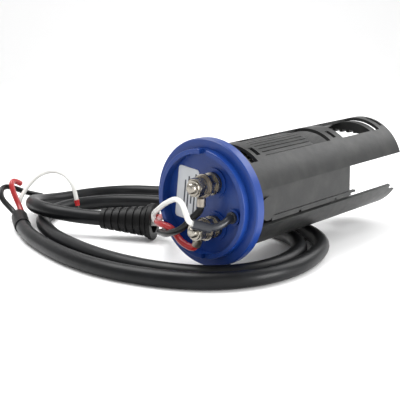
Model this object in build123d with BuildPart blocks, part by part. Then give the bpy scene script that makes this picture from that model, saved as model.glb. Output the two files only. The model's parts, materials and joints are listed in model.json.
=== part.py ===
"""Electrode cell of a salt-water pool chlorinator, with its lead lying in a loose coil.

Frame: origin on the cell's axis in the sealing face of the cap, +Y along the cell
away from the cap, +Z up.  Millimetres.
"""
from build123d import *
from math import cos, pi, radians, sin, sqrt, tan
import os

# ---------------------------------------------------------------- driving sizes
CAP_R = 48.0                # flange of the cap
CAP_T = 8.5                 # flange thickness
COLLAR_R = 41.0             # collar on the cap's face
COLLAR_WALL = 3.5
COLLAR_RISE = 6.1           # collar's height above the flange
RECESS_DEPTH = 7.6          # from the collar's rim to the recess floor
KEY_W = 6.5                 # key notches in the collar
KEY_DEPTH = 4.0
KEY_X = 3.5
SPIGOT_R = 39.8             # plug behind the flange that enters the housing
SPIGOT_LEN = 9.0
GROOVE_START = 3.2          # O-ring groove in the plug
GROOVE_W = 3.6
GROOVE_DEPTH = 2.7
ORING_PROUD = 0.7

STUD_X = 8.0                # the two terminals stand side by side
STUD_Z = 16.0
STUD_R = 4.0
STUD_FRONT = 32.0           # cylinder ends here, a dome follows
STUD_DOME = 3.0
BUS_START = 10.0            # the bus bars stand on the studs' rear ends
BUS_T = 3.0
STUD_BACK = BUS_START + BUS_T
THREAD_GAP = 0.05           # radial play between a stud and what turns on it
BOSS_R = 11.0
BOSS_RISE = 1.5
SEAL_R = 8.0
SEAL_T = 2.0
BASE_WASHER_T = 1.6
NUT_AF = 13.0
INNER_NUT_T = 6.5
CLAMP_WASHER_R = 8.6
CLAMP_WASHER_T = 1.6
LUG_T = 1.8
LUG_R = 7.6
LUG_BARREL_R = 3.4
LUG_BARREL_LEN = 6.0
BARREL_PLAY = 0.15
TOP_WASHER_R = 7.0
TOP_WASHER_T = 2.0
OUTER_NUT_T = 6.0
LOCK_COLLAR_R = 5.8
LOCK_COLLAR_T = 1.5

SENSOR_X = 26.0
SENSOR_Z = -7.0
SENSOR_R = 2.5
SENSOR_BOSS_R = 6.0
SENSOR_BOSS_RISE = 2.5
SENSOR_REACH = 22.0
TAIL_R = 2.8                # sheathed stem between the splice and the sensor
SLEEVE_OVER_TAIL = 0.7
GROMMET_R = 4.4
GROMMET_T = 1.6

LABEL_W = 20.0
LABEL_H = 40.0
LABEL_T = 0.4
LABEL_X = -19.0
LABEL_Z = 5.0
LABEL_LEAN = 8.0
LABEL_CORNER = 2.5
BAR_W = 1.3
BAR_T = 0.12
BAR_PITCH = 3.2
BAR_LENGTHS = [33.0, 14.0, 27.0, 20.0]

CAGE_R = 40.0               # outer radius of the two cage shells
CAGE_WALL = 2.6
CAGE_START = SPIGOT_LEN
CAGE_END = 210.0
UPPER_HALF_ANGLE = 74.0
LOWER_HALF_ANGLE = 65.5
SLAT_PITCH = 6.25           # degrees
SLAT_GAP_ANGLE = 1.3
SLAT_START = 33.0
SLAT_END = 98.0
SLAT_SINK = 1.3             # the slatted panel lies below the shell's surface
WINDOW_FROM = -16.0         # windows and slats, in degrees from +Z toward +X
WINDOW_TO = 37.0
CORNER_CUT_LEN = 12.0       # rear top corners of the lower shell
CORNER_CUT_DEPTH = 5.0

PLATE_T = 1.2
PLATE_PITCH = 8.0
PLATE_COUNT = 7
PLATE_HALF_H = 25.0
PLATE_START = 22.0
PLATE_END = 128.0
COMB_BAR = 4.0
COMB_CLEAR = 0.25

WALL_PLAY = 0.1             # between a side wall's edges and the upper shell
WALL_T = 1.6
WALL_HALF_H = 10.5
WALL_END = 132.0
RAIL_T = 2.8
RAIL_H = 3.6
RAIL_START = 24.0
RAIL_STEP = 7.0
NOTCH_STATIONS = [60.0, 110.0]
NOTCH_DEPTH = 2.2
RAIL_END = 140.0
PIECE_GAP = 0.3
SIDE_BOSS_R = 8.8
SIDE_BOSS_T = 1.8
BOSS_STATION = 18.2
BOSS_Z = -4.0

LEAD_R = 6.5
CONDUCTOR_R = 2.6
SENSOR_WIRE_R = 2.0
FLOOR_Z = -(CAGE_R + 2 * LEAD_R + 0.4)
LEAD_Z = FLOOR_Z + LEAD_R

BOOT_NARROW_R = 8.7
BOOT_WIDE_R = 13.0
BOOT_LEN = 47.0
BOOT_RIBS = 6
RIB_DEPTH = 0.7
MOUTH_COLLAR_R = 15.5
MOUTH_COLLAR_T = 3.5
THIN_COLLAR_R = 14.0
THIN_COLLAR_T = 1.4
MOUTH_R = 9.5

# ---------------------------------------------------------------- the lead's routes
# Plan position and height of the lead's centre above where it lies on the floor.
LEAD_ROUTE = [
    (-235, 1, 0.7), (-207, -18, 0.7), (-175, -35, 0.2), (-141, -47, 0), (-106, -57, 0), (-70, -62, 0), (-34, -61, 0),
    (2, -52, 0), (32, -36, 0), (51, -9, 0), (57, 25, 0), (51, 60, 0), (37, 92, 0), (9, 116, 0), (-28, 128, 0),
    (-68, 134, 0), (-108, 135, 0), (-148, 132, 0), (-186, 121, 0), (-217, 101, 0), (-234, 72, 0), (-234, 43, 0),
    (-217, 13, 0), (-188, -8, 0), (-156, -24, 0), (-122, -34, 0), (-86, -41, 0), (-50, -43, 0), (-15, -39, 0),
    (17, -27, 0), (38, -2, 0), (43, 32, 0), (34, 64, 0), (14, 89, 0), (-15, 103, 0), (-48, 110, 2.6),
    (-84, 122, 14), (-124, 142, 14), (-164, 157, 4), (-202, 160, 0), (-237, 145, 0), (-258, 114, 0), (-265, 80, 0),
    (-260, 48, 4), (-241, 21, 11), (-214, 2, 14), (-184, -3, 14),
]
BOOT_START = Vector(-140, 17, LEAD_Z + 10.0)
BOOT_END = Vector(-98, 38, LEAD_Z + 9.2)


def ring_plane(y0):
    """Plane facing -Y at the given station, with local x = X and local y = Z."""
    return Plane.XZ.offset(-y0)


def hex_corner(across_flats):
    """Corner radius of a hexagon of the given width across flats."""
    return across_flats / sqrt(3)


def arc_band(y0, y1, inner, outer, middle, half_angle):
    """A curved plate between two radii, about the cell's axis.

    middle is the angle of its centre from +Z toward +X, half_angle is half its spread, in degrees.
    """
    lo = 90 - middle - half_angle
    with BuildPart() as band:
        with BuildSketch(ring_plane(y0)):
            with BuildLine():
                outside = CenterArc((0, 0), outer, lo, 2 * half_angle)
                inside = CenterArc((0, 0), inner, lo, 2 * half_angle)
                Line(outside @ 0, inside @ 0)
                Line(outside @ 1, inside @ 1)
            make_face()
        extrude(amount=-(y1 - y0))
    return band.part


def washer(y_front, thickness, outer, inner, spots):
    """Flat rings centred on each (x, z) spot, from y_front toward +Y."""
    with BuildPart() as rings:
        with BuildSketch(ring_plane(y_front)):
            with Locations(*spots):
                Circle(outer)
                Circle(inner, mode=Mode.SUBTRACT)
        extrude(amount=-thickness)
    return rings.part


def corner_radii(points):
    """Largest arc for each corner of a route: 0.45 of its shorter run over tan(half the turn)."""
    radii = []
    for before, here, after in zip(points, points[1:], points[2:]):
        run_in = here - before
        run_out = after - here
        half_turn = radians(run_in.get_angle(run_out)) / 2
        radii.append(0.45 * min(run_in.length, run_out.length) / tan(half_turn))
    return radii


def wire(name, points, radius):
    """A round cord along straight runs joined by arcs; prints its radii, length and volume ratio."""
    route = [Vector(*p) for p in points]
    radii = corner_radii(route)
    with BuildPart() as tube:
        with BuildLine() as path:
            FilletPolyline(*route, radius=radii)
        line = path.wires()[0]
        with BuildSketch(Plane(origin=line @ 0, z_dir=line % 0)):
            Circle(radius)
        sweep(path=line)
    ratio = tube.part.volume / (pi * radius**2 * line.length)
    print(f"{name}: length {line.length:.0f}, radii {min(radii):.0f} to {max(radii):.0f}, volume ratio {ratio:.4f}")
    tube.part.label = name
    return tube.part


def save(part, name):
    """Label a finished piece and write it."""
    part.label = name
    export_step(part, f"parts/{name}.step")


os.makedirs("parts", exist_ok=True)
STUDS = [(STUD_X, STUD_Z), (STUD_X, -STUD_Z)]
RECESS_Y = -(CAP_T + COLLAR_RISE - RECESS_DEPTH)
COLLAR_Y = -(CAP_T + COLLAR_RISE)
BOSS_Y = RECESS_Y - BOSS_RISE

# ---------------------------------------------------------------- cap
with BuildPart() as end_cap:
    with BuildSketch(ring_plane(-CAP_T)):
        Circle(CAP_R)
    extrude(amount=-CAP_T)
    chamfer(end_cap.edges().filter_by(GeomType.CIRCLE), 0.8)
    with BuildSketch(ring_plane(0)):
        Circle(SPIGOT_R)
    extrude(amount=-SPIGOT_LEN)
    with BuildSketch(ring_plane(COLLAR_Y)):
        Circle(COLLAR_R)
    extrude(amount=-(COLLAR_RISE + 0.5))
    fillet(end_cap.edges().filter_by(GeomType.CIRCLE).group_by(Axis.Y)[0], 0.7)
    with BuildSketch(ring_plane(COLLAR_Y)):
        Circle(COLLAR_R - COLLAR_WALL)
    extrude(amount=-RECESS_DEPTH, mode=Mode.SUBTRACT)
    with BuildSketch(ring_plane(COLLAR_Y)):
        for side in (1, -1):
            with Locations((KEY_X, side * (COLLAR_R - COLLAR_WALL / 2))):
                Rectangle(KEY_W, COLLAR_WALL + 3)
    extrude(amount=-KEY_DEPTH, mode=Mode.SUBTRACT)
    with BuildSketch(ring_plane(BOSS_Y)):
        with Locations(*STUDS):
            Circle(BOSS_R)
    extrude(amount=-(BOSS_RISE + 0.5))
    with BuildSketch(ring_plane(RECESS_Y - SENSOR_BOSS_RISE)):
        with Locations((SENSOR_X, SENSOR_Z)):
            Circle(SENSOR_BOSS_R)
    extrude(amount=-(SENSOR_BOSS_RISE + 0.5))
    with BuildSketch(ring_plane(COLLAR_Y)):
        with Locations(*STUDS):
            Circle(STUD_R)
        with Locations((SENSOR_X, SENSOR_Z)):
            Circle(SENSOR_R)
    extrude(amount=-(SPIGOT_LEN + CAP_T + COLLAR_RISE + 1), mode=Mode.SUBTRACT)
    with BuildSketch(ring_plane(GROOVE_START)):
        Circle(SPIGOT_R + 1)
        Circle(SPIGOT_R - GROOVE_DEPTH, mode=Mode.SUBTRACT)
    extrude(amount=-GROOVE_W, mode=Mode.SUBTRACT)
save(end_cap.part, "end_cap")

oring_section = (GROOVE_DEPTH + ORING_PROUD) / 2
with BuildPart() as cap_oring:
    with BuildSketch(Plane.XY):
        with Locations((SPIGOT_R - GROOVE_DEPTH + oring_section, GROOVE_START + GROOVE_W / 2)):
            Circle(oring_section)
    revolve(axis=Axis.Y)
save(cap_oring.part, "cap_oring")

with BuildPart() as label_plate:
    with BuildSketch(ring_plane(RECESS_Y - LABEL_T)):
        with Locations((LABEL_X, LABEL_Z)):
            RectangleRounded(LABEL_W, LABEL_H, LABEL_CORNER, rotation=-LABEL_LEAN)
    extrude(amount=-LABEL_T)
save(label_plate.part, "label_plate")

lean = radians(LABEL_LEAN)
with BuildPart() as label_bars:
    with BuildSketch(ring_plane(RECESS_Y - LABEL_T - BAR_T)):
        for k, length in enumerate(BAR_LENGTHS):
            across = LABEL_W / 2 - 2.6 - BAR_PITCH * k
            with Locations((LABEL_X + across * cos(lean), LABEL_Z - across * sin(lean))):
                Rectangle(BAR_W, length, rotation=-LABEL_LEAN)
    extrude(amount=-BAR_T)
save(label_bars.part, "label_bars")

# ---------------------------------------------------------------- terminals
with BuildPart() as terminal_studs:
    with BuildSketch(ring_plane(-STUD_FRONT)):
        with Locations(*STUDS):
            Circle(STUD_R)
    extrude(amount=-(STUD_FRONT + STUD_BACK))
    with BuildSketch(ring_plane(-STUD_FRONT)):
        with Locations(*STUDS):
            Circle(STUD_R)
    extrude(amount=STUD_DOME, taper=35)
save(terminal_studs.part, "terminal_studs")

seal_y = BOSS_Y - SEAL_T
base_y = seal_y - BASE_WASHER_T
inner_y = base_y - INNER_NUT_T
clamp_y = inner_y - CLAMP_WASHER_T
lug_y = clamp_y - LUG_T
top_y = lug_y - TOP_WASHER_T
nut_y = top_y - OUTER_NUT_T
save(washer(seal_y, SEAL_T, SEAL_R, STUD_R, STUDS), "stud_seals")
save(washer(base_y, BASE_WASHER_T, SEAL_R + 0.3, STUD_R, STUDS), "base_washers")
save(washer(clamp_y, CLAMP_WASHER_T, CLAMP_WASHER_R, STUD_R, STUDS), "clamp_washers")


def hex_nut(spot, y_front, thickness, bore, turn=0.0, collar=0.0):
    """One bevelled hexagon nut on the stud at spot, with an optional round collar in front."""
    x, z = spot
    corner = hex_corner(NUT_AF)
    bevel = 0.9
    with BuildPart() as nut:
        with BuildSketch(ring_plane(y_front)):
            with Locations(spot):
                RegularPolygon(corner, 6, rotation=turn)
        extrude(amount=-thickness)
        with BuildSketch(Plane.XY.offset(z)):
            with BuildLine():
                Polyline(
                    (x, y_front),
                    (x + corner - bevel, y_front),
                    (x + corner, y_front + bevel / 2),
                    (x + corner, y_front + thickness - bevel / 2),
                    (x + corner - bevel, y_front + thickness),
                    (x, y_front + thickness),
                    close=True,
                )
            make_face()
        revolve(axis=Axis((x, 0, z), (0, 1, 0)), mode=Mode.INTERSECT)
        if collar > 0:
            with BuildSketch(ring_plane(y_front)):
                with Locations(spot):
                    Circle(LOCK_COLLAR_R)
            extrude(amount=collar, taper=8)
        with BuildSketch(ring_plane(y_front - collar)):
            with Locations(spot):
                Circle(bore)
        extrude(amount=-(thickness + collar), mode=Mode.SUBTRACT)
    return nut.part


inner_nuts = [hex_nut(spot, inner_y, INNER_NUT_T, STUD_R, turn=12) for spot in STUDS]
save(Compound(children=inner_nuts), "inner_nuts")
turning_bore = STUD_R + THREAD_GAP
for spot, level, turn in zip(STUDS, ("upper", "lower"), (4, 20)):
    save(hex_nut(spot, nut_y, OUTER_NUT_T, turning_bore, turn, LOCK_COLLAR_T), f"{level}_nut")
    save(washer(top_y, TOP_WASHER_T, TOP_WASHER_R, turning_bore, [spot]), f"{level}_washer")


def ring_lug(spot, angle):
    """Ring terminal with its crimp barrel pointing away from the stud.

    angle is the barrel's direction in the plate's plane, in degrees from +X toward +Z.
    """
    x, z = spot
    out = Vector(cos(radians(angle)), 0, sin(radians(angle)))
    barrel_start = Vector(x, lug_y + LUG_T / 2, z) + out * (LUG_R + 1.3)
    with BuildPart() as lug:
        with BuildSketch(ring_plane(lug_y)):
            with Locations(spot):
                Circle(LUG_R)
            with Locations(((x + out.X * LUG_R * 0.75), (z + out.Z * LUG_R * 0.75))):
                Rectangle(LUG_R * 1.5 + 2.6, 5.6, rotation=angle)
            with Locations(spot):
                Circle(STUD_R, mode=Mode.SUBTRACT)
        extrude(amount=-LUG_T)
        with BuildSketch(Plane(origin=barrel_start, z_dir=out)):
            Circle(LUG_BARREL_R)
        extrude(amount=LUG_BARREL_LEN)
        with BuildSketch(Plane(origin=barrel_start + out * 1.5, z_dir=out)):
            Circle(CONDUCTOR_R + BARREL_PLAY)
        extrude(amount=LUG_BARREL_LEN, mode=Mode.SUBTRACT)
    return lug.part, barrel_start, out


UPPER_BARREL_ANGLE = -95.0
LOWER_BARREL_ANGLE = -118.0
upper_lug, upper_barrel, upper_out = ring_lug(STUDS[0], UPPER_BARREL_ANGLE)
lower_lug, lower_barrel, lower_out = ring_lug(STUDS[1], LOWER_BARREL_ANGLE)
save(upper_lug, "ring_lug_upper")
save(lower_lug, "ring_lug_lower")

# ---------------------------------------------------------------- sensor
sensor_y = RECESS_Y - SENSOR_BOSS_RISE
with BuildPart() as sensor_probe:
    with BuildSketch(ring_plane(sensor_y)):
        with Locations((SENSOR_X, SENSOR_Z)):
            Circle(SENSOR_R)
    extrude(amount=-(SENSOR_REACH - sensor_y))
    fillet(sensor_probe.edges().group_by(Axis.Y)[-1], 1.5)
save(sensor_probe.part, "sensor_probe")
with BuildPart() as sensor_grommet:
    with BuildSketch(ring_plane(sensor_y)):
        with Locations((SENSOR_X, SENSOR_Z)):
            Circle(GROMMET_R)
            Circle(TAIL_R, mode=Mode.SUBTRACT)
    extrude(amount=GROMMET_T)
save(sensor_grommet.part, "sensor_grommet")

# ---------------------------------------------------------------- electrode pack
SHELL_IN = CAGE_R - CAGE_WALL
plate_x = [(k - (PLATE_COUNT - 1) / 2) * PLATE_PITCH for k in range(PLATE_COUNT)]
anode_x = plate_x[0::2]
cathode_x = plate_x[1::2]
BUS_H = 12.0
TAB_H = 9.0
TAB_GAP = 0.2


def bus_bar(z_middle, label):
    """Cross bar on one stud; the plates' tabs stand on its back face."""
    half_w = plate_x[-1] + 3
    with BuildPart() as bar:
        with BuildSketch(ring_plane(BUS_START)):
            with Locations((0, z_middle)):
                Rectangle(2 * half_w, BUS_H)
            with Locations((STUD_X, z_middle)):
                Circle(STUD_R, mode=Mode.SUBTRACT)
        extrude(amount=-BUS_T)
    save(bar.part, label)


def plates(stations, tab_z, label):
    """Electrode plates with a tab at one height that reaches forward to the bus bar."""
    with BuildPart() as pack:
        for x in stations:
            with BuildSketch(Plane.YZ.offset(x - PLATE_T / 2)):
                with Locations(((PLATE_START + PLATE_END) / 2, 0)):
                    RectangleRounded(PLATE_END - PLATE_START, 2 * PLATE_HALF_H, 2)
                tab_start = BUS_START + BUS_T
                with Locations(((tab_start + PLATE_START + 4) / 2, tab_z)):
                    Rectangle(PLATE_START + 4 - tab_start, TAB_H)
            extrude(amount=PLATE_T)
    save(pack.part, label)


bus_bar(STUD_Z, "anode_bus_bar")
bus_bar(-STUD_Z, "cathode_bus_bar")
plates(anode_x, STUD_Z, "anode_plates")
plates(cathode_x, -STUD_Z, "cathode_plates")


def plate_comb(y_middle, label):
    """Slotted strip under the plates' lower edges, with a tooth between each pair."""
    seat = -PLATE_HALF_H - 1.5
    top = -PLATE_HALF_H + 5
    half_w = plate_x[-1] + 4
    with BuildPart() as comb:
        with BuildSketch(ring_plane(y_middle - COMB_BAR / 2)):
            with Locations((0, (seat - 2.5 + top) / 2)):
                Rectangle(2 * half_w, top - seat + 2.5)
            for x in plate_x:
                with Locations((x, (top + seat) / 2 + 0.5)):
                    Rectangle(PLATE_T + 2 * COMB_CLEAR, top - seat + 1, mode=Mode.SUBTRACT)
            Circle(SHELL_IN, mode=Mode.INTERSECT)
        extrude(amount=-COMB_BAR)
    save(comb.part, label)


plate_comb(PLATE_START + 14, "front_comb")
plate_comb(PLATE_END - 14, "middle_comb")

# ---------------------------------------------------------------- cage
# Start, end, first angle and last angle of each opening in the upper shell.
UPPER_OPENINGS = [
    (12.0, 20.5, -20, 42),
    (24.5, 29.0, 20, 34),
    (SLAT_END, 120.5, WINDOW_FROM, WINDOW_TO),
    (127.0, 131.5, 20, 34),
    (139.0, 198.0, WINDOW_FROM, WINDOW_TO),
    (204.0, 207.5, 8, 32),
]
window_middle = (WINDOW_FROM + WINDOW_TO) / 2
window_half = (WINDOW_TO - WINDOW_FROM) / 2
with BuildPart() as upper_shell:
    add(arc_band(CAGE_START, CAGE_END, SHELL_IN, CAGE_R, 0, UPPER_HALF_ANGLE))
    for start, end, first, last in UPPER_OPENINGS:
        opening = arc_band(start, end, SHELL_IN - 2, CAGE_R + 2, (first + last) / 2, (last - first) / 2)
        add(opening, mode=Mode.SUBTRACT)
    sink = arc_band(SLAT_START, SLAT_END + 0.5, CAGE_R - SLAT_SINK, CAGE_R + 2, window_middle, window_half)
    add(sink, mode=Mode.SUBTRACT)
    gap_count = 2 * int(window_half / SLAT_PITCH) + 1
    for k in range(gap_count):
        angle = window_middle + (k - (gap_count - 1) / 2) * SLAT_PITCH
        gap = arc_band(SLAT_START, SLAT_END + 0.5, SHELL_IN - 2, CAGE_R + 2, angle, SLAT_GAP_ANGLE / 2)
        add(gap, mode=Mode.SUBTRACT)
save(upper_shell.part, "upper_shell")

BOTTOM_SLOTS = [30.0, 80.0, 150.0]
BOTTOM_SLOT_LEN = 30.0
with BuildPart() as lower_shell:
    add(arc_band(CAGE_START, CAGE_END, SHELL_IN, CAGE_R, 180, LOWER_HALF_ANGLE))
    edge_z = -CAGE_R * cos(radians(LOWER_HALF_ANGLE))
    with BuildSketch(Plane.YZ.offset(-CAGE_R - 1)):
        with Locations((CAGE_END, edge_z)):
            Rectangle(2 * CORNER_CUT_LEN, 2 * CORNER_CUT_DEPTH)
    extrude(amount=2 * CAGE_R + 2, mode=Mode.SUBTRACT)
    for start in BOTTOM_SLOTS:
        slot = arc_band(start, start + BOTTOM_SLOT_LEN, SHELL_IN - 2, CAGE_R + 2, 180, 9)
        add(slot, mode=Mode.SUBTRACT)
save(lower_shell.part, "lower_shell")

TOOTH_PITCH = 7.0
TOOTH_W = 3.0
TOOTH_H = 5.6
REAR_COMB_START = 188.0
REAR_COMB_LEN = 8.0
with BuildPart() as rear_comb:
    with BuildSketch(ring_plane(REAR_COMB_START)):
        with BuildLine():
            arc = CenterArc((0, 0), SHELL_IN, 48, 84)
            Line(arc @ 0, arc @ 1)
        make_face()
        for k in range(-3, 1):
            with Locations((k * TOOTH_PITCH + 1.5, 27.4)):
                Rectangle(TOOTH_PITCH - TOOTH_W, TOOTH_H, mode=Mode.SUBTRACT)
    extrude(amount=-REAR_COMB_LEN)
save(rear_comb.part, "rear_comb")

wall_start = CAGE_START + 2.5
wall_x = sqrt(SHELL_IN**2 - WALL_HALF_H**2) - WALL_T - WALL_PLAY
rail_top = -(WALL_HALF_H + PIECE_GAP)
rail_foot = rail_top - RAIL_H
rail_outline = [(RAIL_START, rail_top), (RAIL_START, rail_foot)]
for station in NOTCH_STATIONS:
    rail_outline += [
        (station - NOTCH_DEPTH, rail_foot), (station, rail_foot + NOTCH_DEPTH), (station + NOTCH_DEPTH, rail_foot),
    ]
rail_outline += [
    (RAIL_END - RAIL_STEP, rail_foot), (RAIL_END - RAIL_STEP, rail_foot + RAIL_H / 2),
    (RAIL_END, rail_foot + RAIL_H / 2), (RAIL_END, rail_top),
]
for side, label in ((1, "right"), (-1, "left")):
    with BuildPart() as side_wall:
        with BuildSketch(ring_plane(wall_start)):
            with Locations((side * (wall_x + WALL_T / 2), 0)):
                Rectangle(WALL_T, 2 * WALL_HALF_H)
        extrude(amount=-(WALL_END - wall_start))
    save(side_wall.part, f"side_wall_{label}")

    with BuildPart() as guide_rail:
        with BuildSketch(Plane.YZ.offset(side * (wall_x + WALL_T / 2) - RAIL_T / 2)):
            with BuildLine():
                Polyline(*rail_outline, close=True)
            make_face()
        extrude(amount=RAIL_T)
    save(guide_rail.part, f"guide_rail_{label}")

    with BuildPart() as side_boss:
        with BuildSketch(Plane.YZ.offset(side * (wall_x + WALL_T))):
            with Locations((BOSS_STATION, BOSS_Z)):
                Circle(SIDE_BOSS_R)
        extrude(amount=side * SIDE_BOSS_T)
    save(side_boss.part, f"side_boss_{label}")

# ---------------------------------------------------------------- lead and its boot
boot_axis = (BOOT_END - BOOT_START).normalized()
boot_side = boot_axis.cross(Vector(0, 0, 1)).normalized()
boot_up = boot_side.cross(boot_axis)
LEAD_DEPTH = 12.0           # how far the lead's jacket reaches into the boot
lead_points = [(x, y, LEAD_Z + rise) for x, y, rise in LEAD_ROUTE]
lead_points += [tuple(BOOT_START - boot_axis * 14), tuple(BOOT_START + boot_axis * LEAD_DEPTH)]
lead = wire("lead", lead_points, LEAD_R)
save(lead, "lead")


def boot_profile():
    """Half section of the boot: (distance along its axis, radius), ribs first."""
    outline = [(0, LEAD_R), (0, BOOT_NARROW_R)]
    mouth = BOOT_LEN - MOUTH_COLLAR_T
    thin = mouth - 2 * THIN_COLLAR_T
    pitch = (thin - 1.0) / BOOT_RIBS
    slope = (BOOT_WIDE_R - BOOT_NARROW_R) / (thin - 1.0)
    for k in range(BOOT_RIBS):
        here = k * pitch
        outer = BOOT_NARROW_R + slope * here
        outline += [(here + pitch * 0.62, outer + slope * pitch * 0.62)]
        outline += [(here + pitch * 0.66, outer - RIB_DEPTH), (here + pitch * 0.96, outer - RIB_DEPTH)]
        outline += [(here + pitch, outer + slope * pitch)]
    outline += [(thin, BOOT_WIDE_R), (thin, THIN_COLLAR_R)]
    outline += [(thin + THIN_COLLAR_T, THIN_COLLAR_R), (thin + THIN_COLLAR_T, BOOT_WIDE_R)]
    outline += [(mouth, BOOT_WIDE_R), (mouth, MOUTH_COLLAR_R), (BOOT_LEN, MOUTH_COLLAR_R), (BOOT_LEN, MOUTH_R)]
    outline += [(LEAD_DEPTH, LEAD_R + 0.6), (LEAD_DEPTH, LEAD_R)]
    return outline


with BuildPart() as lead_boot:
    with BuildSketch(Plane(origin=BOOT_START, x_dir=boot_axis, z_dir=boot_side * -1)):
        with BuildLine():
            Polyline(*boot_profile(), close=True)
        make_face()
    revolve(axis=Axis(BOOT_START, boot_axis))
save(lead_boot.part, "lead_boot")


def in_boot(along, turn, offset=3.3):
    """Point inside the boot, on a circle about its axis; turn counts from up toward the cap's side."""
    swing = radians(turn)
    return tuple(BOOT_START + boot_axis * along + boot_up * (offset * cos(swing)) + boot_side * (offset * sin(swing)))


# ---------------------------------------------------------------- conductors at the cell
lower_end = lower_barrel + lower_out * LUG_BARREL_LEN
upper_end = upper_barrel + upper_out * LUG_BARREL_LEN
RED_ROUTE = [
    (-92, 41, -34), (-82, 35, -29), (-71, 22, -25), (-61, 8, -22.5), (-53, -5, -22), (-44, -14, -20),
    (-34, -19, -19), (-26, -18.8, -20), (-21, -18.6, -24.5), (-16, -19.5, -28.5), (-9, -21, -30.5),
    (-3, -21.3, -31.5),
]
BLACK_ROUTE = [
    (-93.5, 43, -40), (-82, 36, -39), (-71, 23, -37.5), (-62, 9, -35.5), (-56, 0, -32.5), (-47, -8, -29),
    (-38, -15, -27), (-28.5, -22, -25), (-19, -25.5, -21.5), (-11, -27, -18.5), (-4.5, -26.5, -14.5),
    (0, -24.8, -8.5), (5.6, -22, -3.2),
]
SENSOR_ROUTE = [
    (-91, 37, -38.5), (-84, 27, -35), (-75, 14, -28), (-66, 4, -21.5), (-53, -8, -14.5), (-40, -18, -9),
    (-29, -23.5, -2.5), (-18, -27, 3), (-7, -32, 6.8), (4, -38, 6), (10, -41, 0),
]
red_points = [in_boot(LEAD_DEPTH, -10), in_boot(BOOT_LEN - 8, -10), *RED_ROUTE]
red_points += [tuple(lower_end + lower_out * 1.6), tuple(lower_barrel + lower_out * 1.5)]
black_points = [in_boot(LEAD_DEPTH, 230), in_boot(BOOT_LEN - 8, 230), *BLACK_ROUTE]
black_points += [tuple(upper_end + upper_out * 0.8), tuple(upper_barrel + upper_out * 1.5)]
SPLICE_DEPTH = 3.5
splice_start = Vector(13.0, -37.5, -8.0)
splice_end = Vector(21.5, -27.5, -12.0)
splice_axis = (splice_end - splice_start).normalized()
sensor_points = [in_boot(LEAD_DEPTH, 110), in_boot(BOOT_LEN - 8, 110), *SENSOR_ROUTE]
sensor_points += [tuple(splice_start - splice_axis * 3), tuple(splice_start + splice_axis * SPLICE_DEPTH)]
tail_points = [
    tuple(splice_start + splice_axis * SPLICE_DEPTH), tuple(splice_end + splice_axis * 1.5),
    (25.4, -17.5, -9.6), (SENSOR_X, sensor_y - 3.5, SENSOR_Z), (SENSOR_X, sensor_y, SENSOR_Z),
]
save(wire("red_conductor", red_points, CONDUCTOR_R), "red_conductor")
save(wire("black_conductor", black_points, CONDUCTOR_R), "black_conductor")
save(wire("sensor_wire", sensor_points, SENSOR_WIRE_R), "sensor_wire")
save(wire("sensor_tail", tail_points, TAIL_R), "sensor_tail")

splice_len = (splice_end - splice_start).length
with BuildPart() as splice_sleeve:
    with BuildSketch(Plane(origin=splice_start, z_dir=splice_axis)):
        Circle(TAIL_R + SLEEVE_OVER_TAIL)
    extrude(amount=splice_len)
    with BuildSketch(Plane(origin=splice_start, z_dir=splice_axis)):
        Circle(SENSOR_WIRE_R)
    extrude(amount=SPLICE_DEPTH, mode=Mode.SUBTRACT)
    with BuildSketch(Plane(origin=splice_start + splice_axis * SPLICE_DEPTH, z_dir=splice_axis)):
        Circle(TAIL_R)
    extrude(amount=splice_len, mode=Mode.SUBTRACT)
save(splice_sleeve.part, "splice_sleeve")

# ---------------------------------------------------------------- far end of the lead
far_tip = Vector(*lead_points[0])
far_out = (far_tip - Vector(*lead_points[1])).normalized()
far_side = far_out.cross(Vector(0, 0, 1)).normalized()
SLEEVE_WALL = 0.7
SLEEVE_ARC = 0.62           # share of the lead's first bend that the sleeve covers


def at_far_end(turn, along=0.0, offset=3.3):
    """Point out from the jacket's cut end; turn counts from up toward the inside of the coil."""
    swing = radians(turn)
    across = Vector(0, 0, 1) * (offset * cos(swing)) + far_side * (offset * sin(swing))
    return tuple(far_tip + far_out * along + across)


with BuildPart() as end_sleeve:
    with BuildLine() as sleeve_path:
        lead_line = FilletPolyline(
            *[Vector(*p) for p in lead_points[:4]],
            radius=corner_radii([Vector(*p) for p in lead_points[:4]]),
            mode=Mode.PRIVATE,
        )
        straight, bend = lead_line.edges()[:2]
        add(straight)
        add(bend.trim(0, SLEEVE_ARC))
    with BuildSketch(Plane(origin=far_tip, z_dir=far_out * -1)):
        Circle(LEAD_R + SLEEVE_WALL)
        Circle(LEAD_R, mode=Mode.SUBTRACT)
    sweep(path=sleeve_path.wires()[0])
save(end_sleeve.part, "end_sleeve")

FAR_RED = [(-246, 10.5, -40), (-253, 11.5, -32), (-258, 12, -24), (-261.5, 14.5, -19), (-264, 20.5, -18.5),
           (-266, 28, -23)]
FAR_BLACK = [(-251, 2, -39), (-259, 0, -32), (-264, 3, -25), (-267, 11, -23), (-268, 21, -26),
             (-268, 32, -31.5), (-269, 43, -36), (-269, 55, -40)]
FAR_WHITE = [(-248, 9.5, -45.5), (-255, 17, -37), (-258, 27, -28), (-255, 37, -18), (-249, 44, -13),
             (-240, 49, -11), (-229, 51, -13), (-219, 51, -19), (-213, 50, -27)]
FERRULE_AT = Vector(-211, 50, -36)
for label, turn, route, radius in (
    ("far_red", 60, FAR_RED, CONDUCTOR_R),
    ("far_black", 300, FAR_BLACK, CONDUCTOR_R),
    ("far_white", 180, [*FAR_WHITE, tuple(FERRULE_AT)], SENSOR_WIRE_R),
):
    save(wire(label, [at_far_end(turn), at_far_end(turn, 6.0), *route], radius), label)
ferrule_axis = (FERRULE_AT - Vector(*FAR_WHITE[-1])).normalized()
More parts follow.
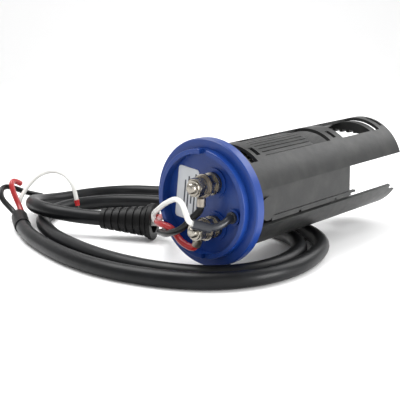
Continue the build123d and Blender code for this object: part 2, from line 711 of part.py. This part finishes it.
with BuildPart() as far_ferrule:
    with BuildSketch(Plane(origin=FERRULE_AT, z_dir=ferrule_axis)):
        Circle(SENSOR_WIRE_R + 0.6)
    extrude(amount=5.5, taper=6)
with BuildPart() as far_pin:
    with BuildSketch(Plane(origin=FERRULE_AT + ferrule_axis * 5.5, z_dir=ferrule_axis)):
        Circle(1.2)
    extrude(amount=6.0)
save(far_ferrule.part, "far_ferrule")
save(far_pin.part, "far_pin")
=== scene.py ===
"""Looks of a pool chlorinator's electrode cell and its lead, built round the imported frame.

Lengths are in metres, in the frame of the part: +Y along the cell away from the cap, +Z up.
"""

import json
import logging
from dataclasses import dataclass, field
from enum import Enum

import bmesh
import bpy
import numpy as np
from mathutils import Matrix, Vector


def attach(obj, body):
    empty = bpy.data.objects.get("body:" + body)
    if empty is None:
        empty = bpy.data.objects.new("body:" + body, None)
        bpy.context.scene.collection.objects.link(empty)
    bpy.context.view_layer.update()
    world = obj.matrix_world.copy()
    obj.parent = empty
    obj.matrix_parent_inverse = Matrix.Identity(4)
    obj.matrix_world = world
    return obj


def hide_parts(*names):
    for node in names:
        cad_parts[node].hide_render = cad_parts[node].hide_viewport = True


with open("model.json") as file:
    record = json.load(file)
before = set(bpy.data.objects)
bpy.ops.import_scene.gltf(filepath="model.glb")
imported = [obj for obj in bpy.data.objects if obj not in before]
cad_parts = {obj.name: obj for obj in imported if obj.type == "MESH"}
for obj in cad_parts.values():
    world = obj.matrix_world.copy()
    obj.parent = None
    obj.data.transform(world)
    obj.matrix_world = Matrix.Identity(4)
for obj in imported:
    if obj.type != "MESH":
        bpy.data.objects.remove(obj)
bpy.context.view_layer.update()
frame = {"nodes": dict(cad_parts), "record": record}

log = logging.getLogger("chlorinator_cell")
MM = 0.001
CONDUCTOR_RADIUS = 2.6
THIN_WIRE_RADIUS = 2.0
TAIL_RADIUS = 2.8
CORE_OFFSET = 3.3           # from the lead's axis to each core's, where they leave the jacket
Point = tuple[float, float, float]


class Body(Enum):
    """The rigid bodies of the part."""

    CELL = "cell"


class Grain(Enum):
    """How a finish's fine relief is made."""

    SMOOTH = "smooth"
    MOULDED = "moulded"
    BRUSHED = "brushed"
    WEATHERED = "weathered"


@dataclass(frozen=True)
class Finish:
    """One surface finish: colour, gloss, relief and dirt.

    colour and stain are linear RGB; grain_size is the width of the relief in metres.
    """

    name: str
    colour: Point
    stain: Point
    stain_amount: float
    roughness: float
    roughness_spread: float
    metallic: float = 0.0
    specular: float = 0.5
    coat: float = 0.0
    grain: Grain = Grain.SMOOTH
    grain_size: float = 0.0008
    grain_depth: float = 0.05

    def material(self) -> bpy.types.Material:
        """Build the finish as a node material that reads Object coordinates.

        Returns:
            The new material.
        """
        mat = bpy.data.materials.new(self.name)
        mat.use_nodes = True
        mat.diffuse_color = (*self.colour, 1.0)
        nodes = mat.node_tree.nodes
        links = mat.node_tree.links
        shader = nodes["Principled BSDF"]
        shader.inputs["Metallic"].default_value = self.metallic
        shader.inputs["Specular IOR Level"].default_value = self.specular
        shader.inputs["Coat Weight"].default_value = self.coat
        shader.inputs["Coat Roughness"].default_value = 0.18
        place = nodes.new("ShaderNodeTexCoord").outputs["Object"]

        patches = self._noise(nodes, links, place, scale=55.0, detail=4.0)
        blend = nodes.new("ShaderNodeMapRange")
        blend.inputs["From Min"].default_value = 0.45
        blend.inputs["From Max"].default_value = 0.75
        blend.inputs["To Max"].default_value = self.stain_amount
        links.new(patches.outputs["Fac"], blend.inputs["Value"])
        mix = nodes.new("ShaderNodeMix")
        mix.data_type = "RGBA"
        mix.inputs["A"].default_value = (*self.colour, 1.0)
        mix.inputs["B"].default_value = (*self.stain, 1.0)
        links.new(blend.outputs["Result"], mix.inputs["Factor"])
        links.new(mix.outputs["Result"], shader.inputs["Base Color"])

        smears = self._noise(nodes, links, place, scale=180.0, detail=3.0)
        gloss = nodes.new("ShaderNodeMapRange")
        gloss.inputs["To Min"].default_value = self.roughness - self.roughness_spread
        gloss.inputs["To Max"].default_value = self.roughness + self.roughness_spread
        links.new(smears.outputs["Fac"], gloss.inputs["Value"])
        links.new(gloss.outputs["Result"], shader.inputs["Roughness"])

        if self.grain is not Grain.SMOOTH:
            self._relief(nodes, links, place, shader)
        return mat

    def _relief(
        self,
        nodes: bpy.types.Nodes,
        links: bpy.types.NodeLinks,
        place: bpy.types.NodeSocket,
        shader: bpy.types.Node,
    ) -> None:
        """Add the fine relief as bump: grains for moulded skin, streaks for brushed metal."""
        stretch = nodes.new("ShaderNodeMapping")
        if self.grain is Grain.BRUSHED:
            stretch.inputs["Scale"].default_value = (1.0, 0.08, 1.0)
        if self.grain is Grain.WEATHERED:
            stretch.inputs["Scale"].default_value = (1.0, 0.35, 1.0)
        links.new(place, stretch.inputs["Vector"])
        grains = self._noise(
            nodes, links, stretch.outputs["Vector"], scale=1.0 / self.grain_size, detail=2.0
        )
        bump = nodes.new("ShaderNodeBump")
        bump.inputs["Strength"].default_value = self.grain_depth
        bump.inputs["Distance"].default_value = 0.0004
        links.new(grains.outputs["Fac"], bump.inputs["Height"])
        links.new(bump.outputs["Normal"], shader.inputs["Normal"])

    @staticmethod
    def _noise(
        nodes: bpy.types.Nodes,
        links: bpy.types.NodeLinks,
        vector: bpy.types.NodeSocket,
        scale: float,
        detail: float,
    ) -> bpy.types.Node:
        """Return a noise node of the given scale that reads the vector socket."""
        noise = nodes.new("ShaderNodeTexNoise")
        noise.inputs["Scale"].default_value = scale
        noise.inputs["Detail"].default_value = detail
        links.new(vector, noise.inputs["Vector"])
        return noise


FINISHES: dict[str, Finish] = {
    "cap_blue": Finish(
        "cap blue", (0.005, 0.032, 0.185), (0.012, 0.058, 0.24), 0.35, 0.36, 0.08,
        specular=0.35, coat=0.08, grain=Grain.MOULDED, grain_size=0.0011, grain_depth=0.08,
    ),
    "seal_rubber": Finish("seal rubber", (0.012, 0.012, 0.013), (0.03, 0.03, 0.03), 0.4, 0.55, 0.08),
    "sensor_plastic": Finish("sensor plastic", (0.022, 0.024, 0.030), (0.05, 0.052, 0.06), 0.3, 0.34, 0.06),
    "label_white": Finish("label film", (0.62, 0.64, 0.66), (0.45, 0.47, 0.48), 0.5, 0.42, 0.06),
    "label_ink": Finish("label ink", (0.05, 0.055, 0.07), (0.12, 0.12, 0.14), 0.4, 0.50, 0.05),
    "steel_hardware": Finish(
        "stainless steel", (0.34, 0.32, 0.28), (0.17, 0.14, 0.11), 0.6, 0.27, 0.07,
        metallic=1.0, grain=Grain.BRUSHED, grain_size=0.0005, grain_depth=0.05,
    ),
    "tinned_lug": Finish(
        "tinned copper", (0.36, 0.33, 0.29), (0.22, 0.17, 0.12), 0.6, 0.36, 0.08,
        metallic=1.0, grain=Grain.MOULDED, grain_size=0.0009, grain_depth=0.08,
    ),
    "titanium": Finish(
        "bare titanium", (0.33, 0.32, 0.31), (0.20, 0.19, 0.18), 0.5, 0.42, 0.08,
        metallic=1.0, grain=Grain.BRUSHED, grain_size=0.0006, grain_depth=0.10,
    ),
    "coated_titanium": Finish(
        "coated titanium", (0.055, 0.055, 0.058), (0.14, 0.13, 0.12), 0.5, 0.60, 0.08,
        metallic=0.4, grain=Grain.MOULDED, grain_size=0.0005, grain_depth=0.2,
    ),
    "cage_grey": Finish(
        "cage grey", (0.022, 0.0225, 0.0225), (0.040, 0.040, 0.038), 0.7, 0.42, 0.09,
        specular=0.22, grain=Grain.WEATHERED, grain_size=0.0012, grain_depth=0.12,
    ),
    "boot_black": Finish(
        "boot rubber", (0.0030, 0.0030, 0.0033), (0.009, 0.009, 0.009), 0.5, 0.46, 0.08,
        specular=0.2, grain=Grain.MOULDED, grain_size=0.0007, grain_depth=0.08,
    ),
    "jacket_black": Finish(
        "lead jacket", (0.0035, 0.0038, 0.0045), (0.010, 0.011, 0.013), 0.5, 0.36, 0.07,
        specular=0.22, grain=Grain.MOULDED, grain_size=0.0010, grain_depth=0.05,
    ),
    "sleeve_black": Finish(
        "shrunk sleeve", (0.004, 0.004, 0.0045), (0.012, 0.012, 0.012), 0.5, 0.52, 0.08,
        specular=0.2, grain=Grain.MOULDED, grain_size=0.0009, grain_depth=0.12,
    ),
    "wire_red": Finish(
        "red insulation", (0.40, 0.014, 0.016), (0.26, 0.010, 0.010), 0.5, 0.30, 0.05, coat=0.1,
    ),
    "wire_black": Finish(
        "black insulation", (0.006, 0.006, 0.0065), (0.014, 0.014, 0.014), 0.4, 0.32, 0.05, specular=0.3,
    ),
    "wire_white": Finish(
        "white insulation", (0.78, 0.78, 0.75), (0.62, 0.61, 0.56), 0.5, 0.34, 0.05, coat=0.1,
    ),
}


def smooth_mesh(name: str, grid: np.ndarray, wrap_u: bool = True) -> bpy.types.Object:
    """Make a mesh from a grid of points.

    Args:
        name: The object's name.
        grid: Points as an array of rows, columns and three coordinates; each row is one ring.
        wrap_u: Whether each row closes on itself.

    Returns:
        The new object, at the origin, with smooth faces.
    """
    rows, cols = grid.shape[:2]
    index = np.arange(rows * cols).reshape(rows, cols)
    right = np.roll(index, -1, axis=1) if wrap_u else index[:, 1:]
    left = index if wrap_u else index[:, :-1]
    quads = np.stack([left[:-1], right[:-1], right[1:], left[1:]], axis=-1).reshape(-1, 4)
    mesh = bpy.data.meshes.new(name)
    mesh.from_pydata(grid.reshape(-1, 3).tolist(), [], quads.tolist())
    mesh.polygons.foreach_set("use_smooth", np.ones(len(mesh.polygons), dtype=bool))
    mesh.update()
    piece = bpy.data.objects.new(name, mesh)
    bpy.context.scene.collection.objects.link(piece)
    return piece


def cord_curve(name: str, points: list[Point], radius: float) -> bpy.types.Object:
    """Make a round cord whose line is a quadratic spline drawn by its route's points.

    Args:
        name: The object's name.
        points: Control points in metres, from one end to the other.
        radius: The cord's radius in metres.

    Returns:
        The new curve object.
    """
    curve = bpy.data.curves.new(name, "CURVE")
    curve.dimensions = "3D"
    spline = curve.splines.new("NURBS")
    spline.points.add(len(points) - 1)
    for control, point in zip(spline.points, points):
        control.co = (*point, 1.0)
    spline.order_u = 3
    spline.use_endpoint_u = True
    curve.resolution_u = 10
    curve.bevel_depth = radius
    curve.bevel_resolution = 7
    curve.use_fill_caps = True
    piece = bpy.data.objects.new(name, curve)
    bpy.context.scene.collection.objects.link(piece)
    return piece


def unit(vector: np.ndarray) -> np.ndarray:
    """Return the vector at length one."""
    return vector / np.linalg.norm(vector)


@dataclass
class Lead:
    """The black multi-core lead, its boot and what its far end shows.

    route holds plan position and height above the lying level, in millimetres, from the stripped
    far end to the boot; the boot's own axis follows from its two ends.
    """

    radius: float = 6.5
    lying_z: float = -46.9
    length: float = 1694.0
    boot_start: Point = (-140.0, 17.0, -36.9)
    boot_end: Point = (-98.0, 38.0, -37.7)
    jacket_depth: float = 12.0
    straight_before_boot: float = 14.0
    route: list[Point] = field(default_factory=lambda: [
        (-235, 1, 0.7), (-207, -18, 0.7), (-175, -35, 0.2), (-141, -47, 0), (-106, -57, 0), (-70, -62, 0),
        (-34, -61, 0), (2, -52, 0), (32, -36, 0), (51, -9, 0), (57, 25, 0), (51, 60, 0), (37, 92, 0),
        (9, 116, 0),
        (-28, 128, 0), (-68, 134, 0), (-108, 135, 0), (-148, 132, 0), (-186, 121, 0), (-217, 101, 0),
        (-234, 72, 0), (-234, 43, 0), (-217, 13, 0), (-188, -8, 0), (-156, -24, 0), (-122, -34, 0),
        (-86, -41, 0), (-50, -43, 0), (-15, -39, 0), (17, -27, 0), (38, -2, 0), (43, 32, 0), (34, 64, 0),
        (14, 89, 0), (-15, 103, 0), (-48, 110, 2.6), (-84, 122, 14), (-124, 142, 14), (-164, 157, 4),
        (-202, 160, 0), (-237, 145, 0), (-258, 114, 0), (-265, 80, 0), (-260, 48, 4), (-241, 21, 11),
        (-214, 2, 14), (-184, -3, 14),
    ])
    far_red: list[Point] = field(default_factory=lambda: [
        (-246, 10.5, -40), (-253, 11.5, -32), (-258, 12, -24), (-261.5, 14.5, -19), (-264, 20.5, -18.5),
        (-266, 28, -23),
    ])
    far_black: list[Point] = field(default_factory=lambda: [
        (-251, 2, -39), (-259, 0, -32), (-264, 3, -25), (-267, 11, -23), (-268, 21, -26), (-268, 32, -31.5),
        (-269, 43, -36), (-269, 55, -40),
    ])
    far_white: list[Point] = field(default_factory=lambda: [
        (-248, 9.5, -45.5), (-255, 17, -37), (-258, 27, -28), (-255, 37, -18), (-249, 44, -13),
        (-240, 49, -11), (-229, 51, -13), (-219, 51, -19), (-213, 50, -27), (-211, 50, -36),
    ])

    @property
    def boot_axis(self) -> np.ndarray:
        """Direction of the boot, toward the cap."""
        return unit(np.array(self.boot_end) - np.array(self.boot_start))

    def jacket_points(self) -> list[Point]:
        """Return the lead's control points in metres, from the boot to the far end."""
        lying = [np.array((x, y, self.lying_z + rise)) for x, y, rise in self.route]
        start = np.array(self.boot_start)
        lying += [
            start - self.boot_axis * self.straight_before_boot,
            start + self.boot_axis * self.jacket_depth,
        ]
        return [tuple(p * MM) for p in reversed(lying)]

    def far_point(self, turn: float, along: float, offset: float = CORE_OFFSET) -> Point:
        """Return a point out from the jacket's cut end; turn is in degrees from up to the coil's inside."""
        tip = np.array((self.route[0][0], self.route[0][1], self.lying_z + self.route[0][2]))
        behind = np.array((self.route[1][0], self.route[1][1], self.lying_z + self.route[1][2]))
        out = unit(tip - behind)
        side = unit(np.cross(out, (0.0, 0.0, 1.0)))
        swing = np.radians(turn)
        lift = np.array((0.0, 0.0, 1.0))
        return tuple(tip + out * along + lift * offset * np.cos(swing) + side * offset * np.sin(swing))

    def build(self) -> None:
        jacket = cord_curve("lead_jacket", self.jacket_points(), self.radius * MM)
        dress(jacket, "jacket_black", "lead")
        for node, slot_name, turn, route, radius in (
            ("far_red", "wire_red", 60.0, self.far_red, CONDUCTOR_RADIUS),
            ("far_black", "wire_black", 300.0, self.far_black, CONDUCTOR_RADIUS),
            ("far_white", "wire_white", 180.0, self.far_white, THIN_WIRE_RADIUS),
        ):
            start = [self.far_point(turn, 0.0), self.far_point(turn, 6.0)]
            points = [tuple(np.array(p) * MM) for p in [*start, *route]]
            wire = cord_curve(f"{node}_core", points, radius * MM)
            dress(wire, slot_name, node)
        log.info("lead jacket laid, %d control points", len(self.route) + 2)


@dataclass
class CellWires:
    """The three insulated wires between the boot and the cap's terminals, and the sensor's tail."""

    lead: Lead
    boot_len: float = 47.0
    red: list[Point] = field(default_factory=lambda: [
        (-92, 41, -34), (-82, 35, -29), (-71, 22, -25), (-61, 8, -22.5), (-53, -5, -22), (-44, -14, -20),
        (-34, -19, -19), (-26, -18.8, -20), (-21, -18.6, -24.5), (-16, -19.5, -28.5), (-9, -21, -30.5),
        (-3, -21.3, -31.5),
    ])
    black: list[Point] = field(default_factory=lambda: [
        (-93.5, 43, -40), (-82, 36, -39), (-71, 23, -37.5), (-62, 9, -35.5), (-56, 0, -32.5), (-47, -8, -29),
        (-38, -15, -27), (-28.5, -22, -25), (-19, -25.5, -21.5), (-11, -27, -18.5), (-4.5, -26.5, -14.5),
        (0, -24.8, -8.5), (5.6, -22, -3.2),
    ])
    sensor: list[Point] = field(default_factory=lambda: [
        (-91, 37, -38.5), (-84, 27, -35), (-75, 14, -28), (-66, 4, -21.5), (-53, -8, -14.5), (-40, -18, -9),
        (-29, -23.5, -2.5), (-18, -27, 3), (-7, -32, 6.8), (4, -38, 6), (10, -41, 0),
    ])
    splice_start: Point = (13.0, -37.5, -8.0)
    splice_end: Point = (21.5, -27.5, -12.0)
    tail: list[Point] = field(default_factory=lambda: [(25.4, -17.5, -9.6), (26, -13, -7)])
    sensor_seat: Point = (26.0, -9.5, -7.0)
    lug_ends: dict[str, tuple[Point, float]] = field(default_factory=lambda: {
        "red": ((8.0, -21.1, -16.0), -118.0),
        "black": ((8.0, -21.1, 16.0), -95.0),
    })
    barrel_start: float = 8.9
    barrel_len: float = 6.0
    barrel_depth: float = 4.5
    splice_depth: float = 3.5
    mouth_inset: float = 8.0

    def in_boot(self, along: float, turn: float, offset: float = CORE_OFFSET) -> Point:
        """Return a point inside the boot, on a circle about its axis; turn is in degrees from up."""
        axis = self.lead.boot_axis
        side = unit(np.cross(axis, (0.0, 0.0, 1.0)))
        lift = np.cross(side, axis)
        swing = np.radians(turn)
        centre = np.array(self.lead.boot_start) + axis * along
        return tuple(centre + lift * offset * np.cos(swing) + side * offset * np.sin(swing))

    def at_lug(self, wire: str, past: float) -> Point:
        """Return a point on a lug barrel's axis, past its open end by the given distance."""
        centre, angle = self.lug_ends[wire]
        out = np.array((np.cos(np.radians(angle)), 0.0, np.sin(np.radians(angle))))
        return tuple(np.array(centre) + out * (self.barrel_start + self.barrel_len + past))

    def build(self) -> None:
        """Run each wire along its route and give it its insulation."""
        depth = self.lead.jacket_depth
        splice_axis = unit(np.array(self.splice_end) - np.array(self.splice_start))
        inside_splice = tuple(np.array(self.splice_start) + splice_axis * self.splice_depth)
        before_splice = tuple(np.array(self.splice_start) - splice_axis * 3.0)
        after_splice = tuple(np.array(self.splice_end) + splice_axis * 1.5)
        mouth = self.boot_len - self.mouth_inset
        runs = {
            "red_conductor": ("wire_red", CONDUCTOR_RADIUS, [
                self.in_boot(depth, -10), self.in_boot(mouth, -10), *self.red,
                self.at_lug("red", 1.6), self.at_lug("red", -self.barrel_depth),
            ]),
            "black_conductor": ("wire_black", CONDUCTOR_RADIUS, [
                self.in_boot(depth, 230), self.in_boot(mouth, 230), *self.black,
                self.at_lug("black", 0.8), self.at_lug("black", -self.barrel_depth),
            ]),
            "sensor_wire": ("wire_white", THIN_WIRE_RADIUS, [
                self.in_boot(depth, 110), self.in_boot(mouth, 110), *self.sensor,
                before_splice, inside_splice,
            ]),
            "sensor_tail": ("sensor_plastic", TAIL_RADIUS, [
                inside_splice, after_splice, *self.tail, self.sensor_seat,
            ]),
        }
        for node, (slot_name, radius, points) in runs.items():
            wire = cord_curve(f"{node}_insulation", [tuple(np.array(p) * MM) for p in points], radius * MM)
            dress(wire, slot_name, node)
            log.info("%s run", node)


@dataclass
class TerminalStuds:
    """The two threaded studs: a coarse metric thread with a turned tip."""

    x: float = 8.0
    heights: tuple[float, float] = (16.0, -16.0)
    radius: float = 4.0
    pitch: float = 1.25
    thread_depth: float = 0.62
    tip_y: float = -35.0
    thread_end_y: float = -32.0
    back_y: float = 13.0
    tip_radius: float = 1.9
    around: int = 48
    along: int = 420

    def surface(self, height: float) -> np.ndarray:
        """Return one stud's points.

        The radius is the stud's radius less a triangle wave of the helical phase
        (length over pitch, less the angle over a full turn). Before thread_end_y it is a smooth dome.
        """
        angle = np.linspace(0.0, 2 * np.pi, self.around, endpoint=False)[None, :]
        y = np.linspace(self.tip_y, self.back_y, self.along)[:, None]
        phase = np.mod(y / self.pitch - angle / (2 * np.pi), 1.0)
        thread = self.radius - self.thread_depth * (1.0 - np.abs(2.0 * phase - 1.0))
        rise = np.clip((y - self.tip_y) / (self.thread_end_y - self.tip_y), 0.0, 1.0)
        dome = self.tip_radius + (self.radius - self.tip_radius) * np.sqrt(rise * (2.0 - rise))
        radius = np.where(y < self.thread_end_y, dome, thread)
        ring = np.stack([
            self.x + radius * np.cos(angle),
            np.broadcast_to(y, radius.shape),
            height + radius * np.sin(angle),
        ], axis=-1)
        front = np.broadcast_to((self.x, self.tip_y, height), (1, self.around, 3))
        back = np.broadcast_to((self.x, self.back_y, height), (1, self.around, 3))
        return np.concatenate([back, ring[::-1], front]) * MM

    def build(self) -> None:
        """Make both studs, one piece each, that stand for the plain CAD studs."""
        grid = np.concatenate([self.surface(h) for h in self.heights])
        rows = grid.shape[0] // 2
        studs = [smooth_mesh(f"stud_thread_{k}", grid[k * rows:(k + 1) * rows]) for k in range(2)]
        for stud in studs:
            weld(stud)
            finish_piece(stud, "steel_hardware")
            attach(stud, Body.CELL.value)
        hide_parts("terminal_studs")
        log.info("terminal studs threaded")


def weld(piece: bpy.types.Object) -> None:
    """Merge doubled points and point every face outwards."""
    work = bmesh.new()
    work.from_mesh(piece.data)
    bmesh.ops.remove_doubles(work, verts=work.verts, dist=1e-7)
    bmesh.ops.recalc_face_normals(work, faces=work.faces)
    work.to_mesh(piece.data)
    work.free()


def finish_piece(piece: bpy.types.Object, slot_name: str) -> None:
    """Give a piece the finish of the named slot."""
    piece.data.materials.clear()
    piece.data.materials.append(MATERIALS[slot_name])


def dress(piece: bpy.types.Object, slot_name: str, node: str) -> None:
    """Finish a piece, let it ride on the cell and stand for one CAD node."""
    finish_piece(piece, slot_name)
    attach(piece, Body.CELL.value)
    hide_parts(node)


MATERIALS: dict[str, bpy.types.Material] = {}


def dress_cad_nodes() -> None:
    """Give every CAD node the finish of its record slot."""
    slots = {part["node"]: part["material_slot"] for part in frame["record"]["subparts"]}
    for node, piece in frame["nodes"].items():
        for slot in piece.material_slots:
            slot.material = MATERIALS[slots[node]]
    log.info("%d CAD nodes dressed", len(slots))


@dataclass
class Studio:
    """Floor, soft lights and the camera."""

    floor_z: float = -53.4
    camera_at: Point = (421.47, -494.23, 146.41)
    right: Point = (0.75408, 0.65648, -0.02002)
    up: Point = (-0.12865, 0.17752, 0.97567)
    look: Point = (-0.64406, 0.73316, -0.21832)
    lens_mm: float = 81.0
    floor_colour: Point = (0.97, 0.97, 0.97)

    def floor(self) -> None:
        """Lay a wide pale floor that curves up into a backdrop behind the part."""
        near, far, half_w, bend = -1.2, 1.6, 3.0, 0.6
        flat = np.linspace(near, far, 12)
        turn = np.linspace(0.0, np.pi / 2, 14)[1:]
        line_y = np.concatenate([flat, far + bend * np.sin(turn), [far + bend]])
        line_z = np.concatenate([np.zeros(12), bend * (1 - np.cos(turn)), [bend + 2.0]])
        across = np.linspace(-half_w, half_w, 8)
        away = unit(np.array((self.look[0], self.look[1], 0.0)))
        side = np.array((away[1], -away[0], 0.0))
        grid = (
            line_y[:, None, None] * away
            + across[None, :, None] * side
            + (line_z + self.floor_z * MM)[:, None, None] * np.array((0.0, 0.0, 1.0))
        )
        floor = smooth_mesh("studio_floor", grid, wrap_u=False)
        mat = bpy.data.materials.new("pale floor")
        mat.use_nodes = True
        mat.node_tree.nodes["Principled BSDF"].inputs["Base Color"].default_value = (*self.floor_colour, 1.0)
        mat.node_tree.nodes["Principled BSDF"].inputs["Roughness"].default_value = 0.6
        floor.data.materials.append(mat)

    @staticmethod
    def area_light(name: str, at: Point, target: Point, size: float, power: float) -> None:
        """Hang one square soft light that faces its target."""
        data = bpy.data.lights.new(name, "AREA")
        data.size = size
        data.energy = power
        lamp = bpy.data.objects.new(name, data)
        bpy.context.scene.collection.objects.link(lamp)
        lamp.location = at
        lamp.rotation_euler = (Vector(target) - Vector(at)).to_track_quat("-Z", "Y").to_euler()

    def lights(self) -> None:
        """Hang a key above, a weak fill in front, a low light at the right and a rim light behind."""
        centre = (-0.05, 0.06, -0.02)
        self.area_light("key", (-0.6, -0.1, 1.2), centre, 1.0, 20.0)
        self.area_light("fill", (0.9, -0.9, 0.45), centre, 0.9, 3.0)
        self.area_light("side", (0.95, 0.25, 0.16), (0.0, 0.1, 0.0), 0.5, 10.0)
        self.area_light("rim", (0.3, 1.1, 0.9), centre, 0.9, 10.0)
        world = bpy.data.worlds.new("studio")
        bpy.context.scene.world = world
        world.use_nodes = True
        world.node_tree.nodes["Background"].inputs["Color"].default_value = (1.0, 1.0, 1.0, 1.0)
        world.node_tree.nodes["Background"].inputs["Strength"].default_value = 0.60

    def camera(self) -> None:
        """Place the camera by its three axes; its sensor is square and 36 mm wide."""
        data = bpy.data.cameras.new("camera")
        data.lens = self.lens_mm
        data.sensor_width = 36.0
        data.clip_start = 0.01
        eye = bpy.data.objects.new("camera", data)
        bpy.context.scene.collection.objects.link(eye)
        back = -np.array(self.look)
        place = Matrix((
            (self.right[0], self.up[0], back[0], self.camera_at[0] * MM),
            (self.right[1], self.up[1], back[1], self.camera_at[1] * MM),
            (self.right[2], self.up[2], back[2], self.camera_at[2] * MM),
            (0.0, 0.0, 0.0, 1.0),
        ))
        eye.matrix_world = place
        bpy.context.scene.camera = eye

    def build(self) -> None:
        """Set the whole stage."""
        self.floor()
        self.lights()
        self.camera()
        bpy.context.scene.view_settings.view_transform = "Standard"
        log.info("stage set")


def main() -> None:
    """Build the part's looks."""
    logging.basicConfig(level=logging.INFO, format="%(name)s: %(message)s")
    for slot_name, finish in FINISHES.items():
        MATERIALS[slot_name] = finish.material()
    dress_cad_nodes()
    lead = Lead()
    lead.build()
    CellWires(lead).build()
    TerminalStuds().build()
    Studio().build()


if __name__ == "__main__":
    main()
